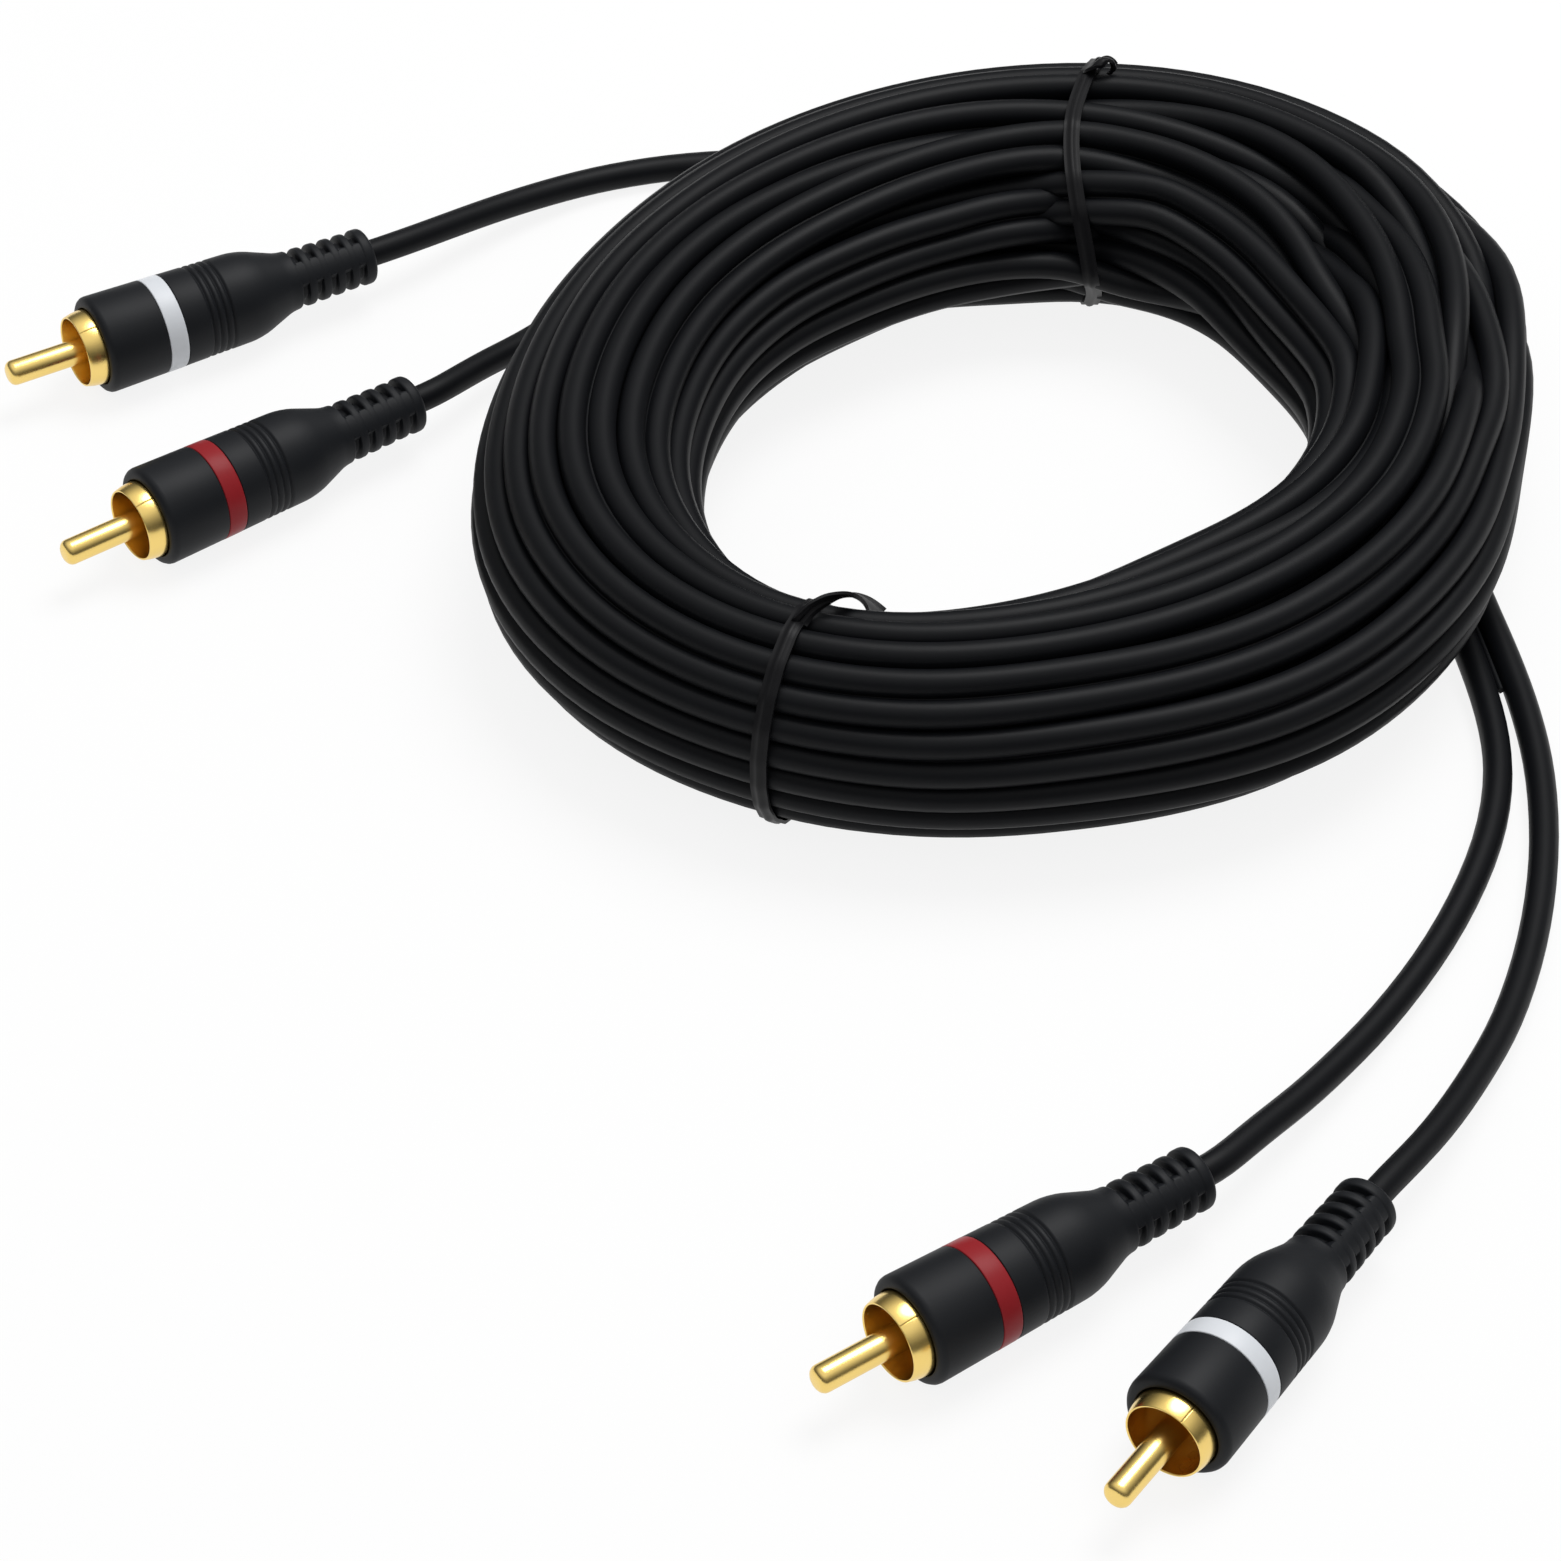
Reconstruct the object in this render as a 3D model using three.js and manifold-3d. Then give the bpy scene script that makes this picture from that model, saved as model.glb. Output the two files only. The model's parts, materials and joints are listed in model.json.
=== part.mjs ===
// A stereo audio cable: a twin lead with a phono plug on each of its four ends, wound into an oval
// bundle that two twist ties hold. It lies on a table with two plugs on the left and two in front.
// Lengths are millimetres. +Z is up, and the origin is on the table, at the centre of the plugs.

import * as THREE from 'three';
import { mergeVertices } from 'three/addons/utils/BufferGeometryUtils.js';
import Module from 'manifold-3d';

const wasm = await Module();
wasm.setup();

// Lead: two round cords side by side, one for each channel
const CORD_DIAMETER = 3.5;
const CONDUCTOR_DIAMETER = 0.6;
const DIELECTRIC_DIAMETER = 1.6;
const BRAID_DIAMETER = 2.4;
const CORD_SIDES = 8;
const CORD_STEP = 7.5;

// Gaps between pieces that meet
const FIT_GAP = 0.2;
const CORD_GAP = 0.3;

// Facets around the turned pieces
const PLUG_SIDES = 16;
const INNER_SIDES = 12;
const CORE_SIDES = 8;
const CONDUCTOR_SIDES = 6;
const WELD_DISTANCE = 1e-4;

// Plug lengths, from the tip of the pin backwards
const PIN_REACH = 9.3;
const SHELL_REACH = 2.4;
const COLLAR_LENGTH = 8;
const RING_WIDTH = 2.6;
const BARREL_LENGTH = 10.9;
const SHOULDER_LENGTH = 5.2;
const BOOT_LENGTH = 11.8;

// Pin and its solder cup
const PIN_DIAMETER = 3.2;
const PIN_DOME_LENGTH = 0.8;
const PIN_DOME_STEPS = 3;
const PIN_SEAT_DEPTH = 1.3;
const PIN_TAIL_DIAMETER = 2;
const PIN_TAIL_LENGTH = 5.2;
const CUP_WALL = 0.5;
const CUP_DEPTH = 2;

// Ground shell: a cup around the pin and a narrow tail that the braid is soldered to
const SHELL_DIAMETER = 9.8;
const SHELL_WALL = 0.7;
const SHELL_CUP_LENGTH = 9.4;
const SHELL_TAIL_DIAMETER = 6;
const SHELL_TAIL_LENGTH = 4;
const LIP_ROUND = 0.2;
const SOCKET_DEPTH = 6.5;

// Hood with its moulded boot
const HOOD_FRONT_DIAMETER = 12.6;
const HOOD_BACK_DIAMETER = 11.6;
const HOOD_EDGE_ROUND = 0.9;
const HOOD_EDGE_STEPS = 2;
const SHOULDER_STEPS = 4;
const SHOULDER_EXPONENT = 1.4;
const RING_THICKNESS = 0.6;
const GRIP_GROOVES = 4;
const GRIP_PITCH = 0.95;
const GRIP_DEPTH = 0.3;
const GRIP_SETBACK = 3.2;
const BOOT_FRONT_DIAMETER = 7.7;
const BOOT_END_DIAMETER = 7.1;
const BOOT_SLOTS = 5;
const BOOT_SLOT_WIDTH = 0.9;
const BOOT_SLOT_DEPTH = 1;
const BOOT_END_RING = 1.6;
const BOOT_WEB_WIDTH = 2.2;
const BOOT_WEB_CLOCK = THREE.MathUtils.degToRad(-45);

// Inner mould around the soldered joints, and the stripped end of the cord inside it
const MOULD_DIAMETER = 9.2;
const MOULD_LENGTH = 13.2;
const BRAID_SLEEVE_LENGTH = 2.8;
const BRAID_SLEEVE_WALL = 0.3;
const BRAID_CONE_LENGTH = 1.8;
const JACKET_SETBACK = 4.2;

// Bundle: its turns follow an oval line. They were wound by hand, so they spread more in some places
// than in others: their inner and outer edges are given every 30 degrees, outwards from that line.
const BUNDLE_LENGTH = 112.6;
const BUNDLE_WIDTH = 94;
const BUNDLE_TURN = THREE.MathUtils.degToRad(52);
const BUNDLE_CENTRE = [42.8, 55.9];
const TURNS_EDGES = [
  [-13.5, 13], [-19.5, 18.5], [-18.5, 20], [-17.5, 18.5], [-17, 16.5], [-14.5, 14],
  [-14.5, 13.5], [-13, 14.5], [-10.5, 12], [-14, 13], [-16.5, 17.5], [-13.5, 16],
];
const TURNS_HEIGHT = 27;
const TURNS_SIDES = 12;
const TURNS_STEPS = 40;
const EVEN_RING_RADIUS = 2;

// Twist ties
const TIE_WIDTH = 2.2;
const TIE_THICKNESS = 0.8;
const TIE_TAIL_DIAMETER = 1.5;
const TIE_TAIL_SIDES = 6;
const TIE_TAIL_STEPS = 10;

// Where each cord leaves its boot on the table plane, and the way the cord goes there, in degrees
const PLUGS = [
  { name: 'left_white', exit: [-37.8, 103.5], heading: 30.2, colour: 'white' },
  { name: 'left_red', exit: [-30.4, 72.6], heading: 36.5, colour: 'red' },
  { name: 'front_red', exit: [59.5, -61.6], heading: 35.9, colour: 'red' },
  { name: 'front_white', exit: [77.4, -65.6], heading: 55.1, colour: 'white' },
];

// The way of each cord from its boot to the bundle, after the straight stretch at the boot
const ROUTES = {
  left_white: [
    [-30, 109.1, 5.7], [-24.4, 114.5, 4.5], [-18.8, 119.4, 3.4], [-13, 123.5, 2.6], [-7.2, 126.8, 2],
    [0.7, 129.1, 1.9], [8.6, 130.1, 1.9], [17.5, 130.2, 2], [27, 129.2, 2.4], [37, 127.2, 3.6],
    [46, 124.6, 5.6], [55, 120.5, 8],
  ],
  left_red: [
    [-25.1, 78, 5.7], [-21.5, 82.8, 4.8], [-17.7, 87.4, 3.7], [-12.4, 94.5, 2.6], [-5.8, 102.8, 2.1],
    [3, 111.5, 1.9], [13, 118.5, 1.9], [24, 123, 2], [35, 123.4, 2.6], [45, 121, 4], [54, 117, 6],
  ],
  front_red: [
    [66.8, -53.6, 5.3], [71.7, -47.8, 4.2], [76.7, -40.9, 3.2], [81.7, -33.8, 2.5], [87.9, -23.5, 2],
    [92.7, -13.6, 1.9], [96.5, -3.5, 1.9], [98.5, 6, 1.9], [98.9, 14, 1.9], [98.3, 22, 1.9],
    [97, 30.5, 1.9], [95.4, 39, 1.9], [93.9, 48, 1.9], [93.4, 57, 2],
  ],
  front_white: [
    [84.7, -55.5, 5.4], [88.8, -48.2, 4.3], [92.3, -41.1, 3.4], [95.5, -34.1, 2.7], [98.9, -23.7, 2],
    [101.3, -13.6, 1.9], [102.9, -3, 1.9], [103.5, 8, 1.9], [103.1, 16, 1.9], [102.3, 23.5, 1.9],
    [100.9, 32, 1.9], [99.3, 40, 1.9], [98, 49, 1.9], [97.4, 58, 2],
  ],
};

// Each tie: its place around the bundle in degrees, and the way of its twisted ends. A point of that
// way is a distance outwards across the turns, one along them and a height above the table.
const TIES = [
  {
    name: 'back_tie', place: 78,
    tail: [[5.4, -0.2, 26.4], [5.7, -1.1, 27.7], [6.1, -2, 28.2], [6.9, -2.7, 27.6], [7.9, -3.1, 26.2]],
  },
  {
    name: 'front_tie', place: 243,
    tail: [
      [0.9, 0.3, 27], [-0.3, 1, 28.2], [-2.2, 2, 28.5], [-5, 3.2, 27.6], [-7.6, 4, 25.6], [-10.4, 4.4, 22.4],
      [-13.6, 4.6, 18.4],
    ],
  },
];

// Stations along a plug, from the tip of the pin
const shellLip = PIN_REACH;
const hoodFront = shellLip + SHELL_REACH;
const ringFront = hoodFront + COLLAR_LENGTH;
const ringBack = ringFront + RING_WIDTH;
const shoulderFront = ringBack + BARREL_LENGTH;
const bootFront = shoulderFront + SHOULDER_LENGTH;
const bootEnd = bootFront + BOOT_LENGTH;
const socketFloor = shellLip + SOCKET_DEPTH;
const shellCupEnd = shellLip + SHELL_CUP_LENGTH;
const shellTailEnd = shellCupEnd + SHELL_TAIL_LENGTH;
const pinShoulder = socketFloor + PIN_SEAT_DEPTH;
const pinEnd = pinShoulder + PIN_TAIL_LENGTH;
const mouldFront = shellCupEnd + FIT_GAP;
const mouldEnd = mouldFront + MOULD_LENGTH;
const jacketFront = shoulderFront - JACKET_SETBACK;

// Radii that several pieces share
const cordRadius = CORD_DIAMETER / 2;
const cordBore = cordRadius + FIT_GAP;
const pinRadius = PIN_DIAMETER / 2;
const tailRadius = PIN_TAIL_DIAMETER / 2;
const shellRadius = SHELL_DIAMETER / 2;
const shellBore = shellRadius - SHELL_WALL;
const shellTailRadius = SHELL_TAIL_DIAMETER / 2;
const shellTailBore = shellTailRadius - SHELL_WALL;
const mouldRadius = MOULD_DIAMETER / 2;
const sleeveBore = shellTailRadius + FIT_GAP;
const sleeveRadius = sleeveBore + BRAID_SLEEVE_WALL;
const axisHeight = HOOD_FRONT_DIAMETER / 2;

const MATERIALS = {
  gold: new THREE.MeshStandardMaterial({ color: 0xd6a94a, roughness: 0.25, metalness: 1 }),
  black: new THREE.MeshStandardMaterial({ color: 0x1d1e20, roughness: 0.5, metalness: 0 }),
  white: new THREE.MeshStandardMaterial({ color: 0xdfe4ea, roughness: 0.4, metalness: 0 }),
  red: new THREE.MeshStandardMaterial({ color: 0x9a1c22, roughness: 0.4, metalness: 0 }),
  insulator: new THREE.MeshStandardMaterial({ color: 0x3a2c20, roughness: 0.6, metalness: 0 }),
  mould: new THREE.MeshStandardMaterial({ color: 0xcfd2cc, roughness: 0.6, metalness: 0 }),
  copper: new THREE.MeshStandardMaterial({ color: 0xb3623b, roughness: 0.4, metalness: 1 }),
  dielectric: new THREE.MeshStandardMaterial({ color: 0xf0eee6, roughness: 0.5, metalness: 0 }),
  tie: new THREE.MeshStandardMaterial({ color: 0x161618, roughness: 0.45, metalness: 0 }),
};

function toSolid(geometry) {
  const bare = geometry.clone();
  bare.deleteAttribute('normal');
  bare.deleteAttribute('uv');
  const merged = mergeVertices(bare, WELD_DISTANCE);
  const corners = Array.from(merged.index.array);
  const triangles = [];
  for (let i = 0; i < corners.length; i += 3) {
    const [a, b, c] = corners.slice(i, i + 3);
    if (a !== b && b !== c && c !== a) triangles.push(a, b, c);
  }
  const mesh = new wasm.Mesh({
    numProp: 3,
    vertProperties: new Float32Array(merged.attributes.position.array),
    triVerts: new Uint32Array(triangles),
  });
  return new wasm.Manifold(mesh);
}

function toGeometry(solid) {
  const mesh = solid.getMesh();
  const geometry = new THREE.BufferGeometry();
  geometry.setAttribute('position', new THREE.BufferAttribute(mesh.vertProperties, mesh.numProp));
  geometry.setIndex(new THREE.BufferAttribute(mesh.triVerts, 1));
  geometry.computeVertexNormals();
  return geometry;
}

// Turns a profile of [station, radius] pairs about the plug's own axis, which lies along +X
function turned(profile, sides) {
  const points = profile.map(([station, radius]) => new THREE.Vector2(radius, station));
  return new THREE.LatheGeometry(points, sides).rotateZ(-Math.PI / 2);
}

// A turned piece with a hole through it: the profile comes back to its first point
function turnedSleeve(profile, sides) {
  return turned([...profile, profile[0]], sides);
}

// A quarter of an oval in a profile: it leaves the first point outwards and reaches the last one
// along the plug
function quarterOval([fromStation, fromRadius], [toStation, toRadius], steps) {
  const outline = [];
  for (let i = 0; i <= steps; i++) {
    const angle = (i / steps) * (Math.PI / 2);
    const station = THREE.MathUtils.lerp(fromStation, toStation, 1 - Math.cos(angle));
    const radius = THREE.MathUtils.lerp(fromRadius, toRadius, Math.sin(angle));
    outline.push([station, radius]);
  }
  return outline;
}

function piece(name, geometry, material) {
  const mesh = new THREE.Mesh(geometry, material);
  mesh.name = name;
  return mesh;
}

function pinGeometry() {
  return turned([
    ...quarterOval([0, 0], [PIN_DOME_LENGTH, pinRadius], PIN_DOME_STEPS),
    [pinShoulder, pinRadius],
    [pinShoulder, tailRadius],
    [pinEnd, tailRadius],
    [pinEnd, tailRadius - CUP_WALL],
    [pinEnd - CUP_DEPTH, tailRadius - CUP_WALL],
    [pinEnd - CUP_DEPTH, 0],
  ], INNER_SIDES);
}

function shellGeometry() {
  return turnedSleeve([
    [shellLip, shellBore + LIP_ROUND],
    [shellLip, shellRadius - LIP_ROUND],
    [shellLip + LIP_ROUND, shellRadius],
    [shellCupEnd, shellRadius],
    [shellCupEnd, shellTailRadius],
    [shellTailEnd, shellTailRadius],
    [shellTailEnd, shellTailBore],
    [shellCupEnd - SHELL_WALL, shellTailBore],
    [shellCupEnd - SHELL_WALL, shellBore],
    [shellLip + LIP_ROUND, shellBore],
  ], PLUG_SIDES);
}

function insulatorGeometry() {
  const back = shellCupEnd - SHELL_WALL - FIT_GAP;
  const neckEnd = shellTailEnd - CUP_DEPTH;
  return turnedSleeve([
    [socketFloor, pinRadius + FIT_GAP],
    [socketFloor, shellBore - FIT_GAP],
    [back, shellBore - FIT_GAP],
    [back, shellTailBore - FIT_GAP],
    [neckEnd, shellTailBore - FIT_GAP],
    [neckEnd, tailRadius + FIT_GAP],
    [pinShoulder + FIT_GAP, tailRadius + FIT_GAP],
    [pinShoulder + FIT_GAP, pinRadius + FIT_GAP],
  ], INNER_SIDES);
}

function hoodRadiusAt(station) {
  const share = (station - hoodFront) / (shoulderFront - hoodFront);
  return THREE.MathUtils.lerp(HOOD_FRONT_DIAMETER, HOOD_BACK_DIAMETER, share) / 2;
}

function bootRadiusAt(station) {
  const share = (station - bootFront) / BOOT_LENGTH;
  return THREE.MathUtils.lerp(BOOT_FRONT_DIAMETER, BOOT_END_DIAMETER, share) / 2;
}

function ringFloorRadius() {
  return hoodRadiusAt(ringBack) - RING_THICKNESS - FIT_GAP;
}

// The front edge of the hood is rounded, and the colour ring sits in a band cut around it
function collarOutline() {
  const edgeEnd = hoodFront + HOOD_EDGE_ROUND;
  const corner = hoodRadiusAt(edgeEnd);
  const floor = ringFloorRadius();
  return [
    ...quarterOval([hoodFront, corner - HOOD_EDGE_ROUND], [edgeEnd, corner], HOOD_EDGE_STEPS),
    [ringFront, hoodRadiusAt(ringFront)],
    [ringFront, floor],
    [ringBack, floor],
    [ringBack, hoodRadiusAt(ringBack)],
  ];
}

function gripOutline() {
  const outline = [];
  for (let i = 0; i < GRIP_GROOVES; i++) {
    const start = ringBack + GRIP_SETBACK + i * GRIP_PITCH;
    const middle = start + GRIP_PITCH / 2;
    outline.push([start, hoodRadiusAt(start)]);
    outline.push([middle, hoodRadiusAt(middle) - GRIP_DEPTH]);
  }
  const end = ringBack + GRIP_SETBACK + GRIP_GROOVES * GRIP_PITCH;
  outline.push([end, hoodRadiusAt(end)]);
  return outline;
}

// The shoulder curves away from the barrel and falls to the boot as a cone
function shoulderOutline() {
  const outline = [];
  for (let i = 0; i <= SHOULDER_STEPS; i++) {
    const share = i / SHOULDER_STEPS;
    const station = THREE.MathUtils.lerp(shoulderFront, bootFront, share);
    const fall = share ** SHOULDER_EXPONENT;
    outline.push([station, THREE.MathUtils.lerp(HOOD_BACK_DIAMETER, BOOT_FRONT_DIAMETER, fall) / 2]);
  }
  return outline;
}

function bootSlotStarts() {
  const pitch = (BOOT_LENGTH - BOOT_END_RING) / BOOT_SLOTS;
  return Array.from({ length: BOOT_SLOTS }, (_, i) => bootFront + (i + 1) * pitch - BOOT_SLOT_WIDTH);
}

function bootOutline() {
  const outline = [];
  for (const start of bootSlotStarts()) {
    const end = start + BOOT_SLOT_WIDTH;
    outline.push([start, bootRadiusAt(start)]);
    outline.push([start, bootRadiusAt(start) - BOOT_SLOT_DEPTH]);
    outline.push([end, bootRadiusAt(end) - BOOT_SLOT_DEPTH]);
    outline.push([end, bootRadiusAt(end)]);
  }
  outline.push([bootEnd, bootRadiusAt(bootEnd)]);
  return outline;
}

function hoodBoreOutline() {
  return [
    [bootEnd, cordBore],
    [mouldEnd + FIT_GAP, cordBore],
    [mouldEnd + FIT_GAP, mouldRadius + FIT_GAP],
    [shellCupEnd + FIT_GAP / 2, mouldRadius + FIT_GAP],
    [shellCupEnd + FIT_GAP / 2, shellRadius + FIT_GAP],
    [hoodFront, shellRadius + FIT_GAP],
  ];
}

// Two flat webs, one on each side, join the boot's rings along its length
function bootWeb(side) {
  const first = bootSlotStarts()[0];
  const outer = bootRadiusAt(bootEnd) - FIT_GAP;
  const inner = outer - BOOT_SLOT_DEPTH;
  const length = bootEnd - BOOT_END_RING / 2 - first;
  const web = new THREE.BoxGeometry(length, outer - inner, BOOT_WEB_WIDTH);
  web.translate(first + length / 2, side * (inner + outer) / 2, 0);
  web.rotateX(BOOT_WEB_CLOCK);
  return toSolid(web);
}

function hoodGeometry() {
  const outline = [...collarOutline(), ...gripOutline(), ...shoulderOutline(), ...bootOutline()];
  let hood = toSolid(turnedSleeve([...outline, ...hoodBoreOutline()], PLUG_SIDES));
  for (const side of [-1, 1]) {
    hood = hood.add(bootWeb(side));
  }
  return toGeometry(hood);
}

function ringGeometry() {
  const front = ringFront + FIT_GAP;
  const back = ringBack - FIT_GAP;
  const floor = ringFloorRadius() + FIT_GAP;
  return turnedSleeve([
    [front, floor],
    [front, hoodRadiusAt(front)],
    [back, hoodRadiusAt(back)],
    [back, floor],
  ], PLUG_SIDES);
}

function mouldGeometry() {
  const chamber = shellTailEnd + FIT_GAP + BRAID_CONE_LENGTH;
  return turnedSleeve([
    [mouldFront, sleeveRadius + FIT_GAP],
    [mouldFront, mouldRadius],
    [mouldEnd, mouldRadius],
    [mouldEnd, cordBore],
    [chamber, cordBore],
    [shellTailEnd + FIT_GAP, sleeveRadius + FIT_GAP],
  ], INNER_SIDES);
}

function braidGeometry() {
  const sleeveEnd = shellTailEnd + FIT_GAP;
  const coneEnd = sleeveEnd + BRAID_CONE_LENGTH;
  const bore = DIELECTRIC_DIAMETER / 2 + FIT_GAP;
  return turnedSleeve([
    [shellTailEnd - BRAID_SLEEVE_LENGTH, sleeveBore],
    [shellTailEnd - BRAID_SLEEVE_LENGTH, sleeveRadius],
    [sleeveEnd, sleeveRadius],
    [coneEnd, BRAID_DIAMETER / 2],
    [jacketFront - CORD_GAP, BRAID_DIAMETER / 2],
    [jacketFront - CORD_GAP, bore],
    [coneEnd, bore],
    [sleeveEnd, sleeveBore],
  ], INNER_SIDES);
}

function dielectricGeometry() {
  const bore = CONDUCTOR_DIAMETER / 2 + FIT_GAP;
  return turnedSleeve([
    [pinEnd + FIT_GAP, bore],
    [pinEnd + FIT_GAP, DIELECTRIC_DIAMETER / 2],
    [jacketFront - CORD_GAP, DIELECTRIC_DIAMETER / 2],
    [jacketFront - CORD_GAP, bore],
  ], CORE_SIDES);
}

function conductorGeometry() {
  const front = pinEnd - CUP_DEPTH + FIT_GAP;
  const back = jacketFront - CORD_GAP;
  const radius = CONDUCTOR_DIAMETER / 2;
  return turned([[front, 0], [front, radius], [back, radius], [back, 0]], CONDUCTOR_SIDES);
}

// A plug is built along +X with its pin's tip at the origin, then laid on the table by its exit
function plug({ name, exit, heading, colour }) {
  const group = new THREE.Group();
  group.add(piece(`${name}_centre_pin`, pinGeometry(), MATERIALS.gold));
  group.add(piece(`${name}_ground_shell`, shellGeometry(), MATERIALS.gold));
  group.add(piece(`${name}_insulator`, insulatorGeometry(), MATERIALS.insulator));
  group.add(piece(`${name}_hood`, hoodGeometry(), MATERIALS.black));
  group.add(piece(`${name}_colour_ring`, ringGeometry(), MATERIALS[colour]));
  group.add(piece(`${name}_inner_mould`, mouldGeometry(), MATERIALS.mould));
  group.add(piece(`${name}_shield_braid`, braidGeometry(), MATERIALS.copper));
  group.add(piece(`${name}_core_dielectric`, dielectricGeometry(), MATERIALS.dielectric));
  group.add(piece(`${name}_core_conductor`, conductorGeometry(), MATERIALS.copper));
  const angle = THREE.MathUtils.degToRad(heading);
  const tip = new THREE.Vector3(-bootEnd, 0, 0).applyAxisAngle(new THREE.Vector3(0, 0, 1), angle);
  group.position.set(exit[0] + tip.x, exit[1] + tip.y, axisHeight);
  group.rotation.z = angle;
  return group;
}

// A round section for a tube, flat side down
function roundSection(radius, sides) {
  const section = new THREE.Shape();
  for (let i = 0; i < sides; i++) {
    const angle = ((i + 0.5) / sides) * Math.PI * 2;
    const corner = [radius * Math.cos(angle), radius * Math.sin(angle)];
    if (i === 0) section.moveTo(...corner);
    else section.lineTo(...corner);
  }
  section.closePath();
  return section;
}

// A lead starts inside its plug, runs straight out of the boot, follows its route into the bundle
// and is trimmed where it meets the outer turns
function lead({ name, exit, heading }) {
  const angle = THREE.MathUtils.degToRad(heading);
  const along = (distance) => new THREE.Vector3(
    exit[0] + distance * Math.cos(angle),
    exit[1] + distance * Math.sin(angle),
    axisHeight,
  );
  const inside = jacketFront - bootEnd;
  const start = [along(inside), along(inside / 2), along(0), along(CORD_DIAMETER)];
  const route = ROUTES[name].map((point) => new THREE.Vector3(...point));
  const path = new THREE.CatmullRomCurve3([...start, ...route], false, 'centripetal');
  const steps = Math.round(path.getLength() / CORD_STEP);
  const options = { steps, extrudePath: path, bevelEnabled: false };
  const whole = toSolid(new THREE.ExtrudeGeometry(roundSection(cordRadius, CORD_SIDES), options));
  return piece(`${name}_lead`, toGeometry(whole.subtract(bundleSolid(CORD_GAP))), MATERIALS.black);
}

// The outer shape of the wound turns: an even ring, bent to their oval line and stretched to their
// edges. A positive growth makes the section larger all round.
function bundleSolid(growth) {
  const section = [];
  const flat = Math.cos(Math.PI / TURNS_SIDES);
  for (let i = 0; i <= TURNS_SIDES; i++) {
    const angle = ((i + 0.5) / TURNS_SIDES) * Math.PI * 2;
    section.push(new THREE.Vector2(EVEN_RING_RADIUS + Math.cos(angle) / flat, Math.sin(angle) / flat));
  }
  const ring = new THREE.LatheGeometry(section, TURNS_STEPS).rotateX(Math.PI / 2);
  const corners = ring.attributes.position;
  const half = TURNS_HEIGHT / 2;
  for (let i = 0; i < corners.count; i++) {
    const corner = new THREE.Vector3().fromBufferAttribute(corners, i);
    const place = THREE.MathUtils.radToDeg(Math.atan2(corner.y, corner.x));
    const { onOval, outwards } = bundlePlace(place);
    const [inner, outer] = turnsEdges(place);
    const reach = Math.hypot(corner.x, corner.y) - EVEN_RING_RADIUS;
    const across = (inner + outer) / 2 + reach * ((outer - inner) / 2 + growth);
    const { x, y } = onOval.addScaledVector(outwards, across);
    corners.setXYZ(i, x, y, half + corner.z * (half + growth));
  }
  return toSolid(ring);
}

// The turns' inner and outer edges at an angle seen from the bundle's centre
function turnsEdges(degrees) {
  const places = TURNS_EDGES.map(([inner, outer]) => new THREE.Vector3(inner, outer, 0));
  const around = new THREE.CatmullRomCurve3(places, true, 'catmullrom');
  const { x, y } = around.getPoint(THREE.MathUtils.euclideanModulo(degrees / 360, 1));
  return [x, y];
}

// The point of the bundle's oval line at an angle seen from its centre, and the way outwards
function bundlePlace(degrees) {
  const angle = THREE.MathUtils.degToRad(degrees) - BUNDLE_TURN;
  const long = BUNDLE_LENGTH / 2;
  const short = BUNDLE_WIDTH / 2;
  const radius = 1 / Math.hypot(Math.cos(angle) / long, Math.sin(angle) / short);
  const onOval = new THREE.Vector2(radius * Math.cos(angle), radius * Math.sin(angle));
  const outwards = new THREE.Vector2(onOval.x / long ** 2, onOval.y / short ** 2).normalize();
  const centre = new THREE.Vector2();
  onOval.rotateAround(centre, BUNDLE_TURN).add(new THREE.Vector2(...BUNDLE_CENTRE));
  outwards.rotateAround(centre, BUNDLE_TURN);
  return { onOval, outwards };
}

// A slab across the bundle, square to its turns at one place
function slabAcross(place, width) {
  const { onOval, outwards } = bundlePlace(place);
  const slab = new THREE.BoxGeometry(2 * TURNS_HEIGHT, width, 2 * TURNS_HEIGHT);
  slab.rotateZ(outwards.angle());
  slab.translate(onOval.x, onOval.y, TURNS_HEIGHT / 2);
  return toSolid(slab);
}

// The two ends of a tie, twisted together, stand off the turns and bend over
function tieTail({ place, tail }) {
  const { onOval, outwards } = bundlePlace(place);
  const points = tail.map(([across, along, height]) => new THREE.Vector3(
    onOval.x + across * outwards.x - along * outwards.y,
    onOval.y + across * outwards.y + along * outwards.x,
    height,
  ));
  const path = new THREE.CatmullRomCurve3(points, false, 'centripetal');
  const options = { steps: TIE_TAIL_STEPS, extrudePath: path, bevelEnabled: false };
  return toSolid(new THREE.ExtrudeGeometry(roundSection(TIE_TAIL_DIAMETER / 2, TIE_TAIL_SIDES), options));
}

function tieGeometry(tie) {
  const slab = slabAcross(tie.place, TIE_WIDTH);
  const band = bundleSolid(0).subtract(bundleSolid(-TIE_THICKNESS)).intersect(slab);
  const besideBand = bundleSolid(CORD_GAP).subtract(slab);
  const tail = tieTail(tie).subtract(besideBand).subtract(bundleSolid(-TIE_THICKNESS / 2));
  return toGeometry(band.add(tail));
}

// The ties bite into the turns, so their bands lie in grooves and stay flush with the bundle
function coilGeometry() {
  const groove = bundleSolid(TIE_THICKNESS).subtract(bundleSolid(-TIE_THICKNESS - CORD_GAP));
  let coil = bundleSolid(0);
  for (const tie of TIES) {
    coil = coil.subtract(groove.intersect(slabAcross(tie.place, TIE_WIDTH + 2 * CORD_GAP)));
  }
  return toGeometry(coil);
}

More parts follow.
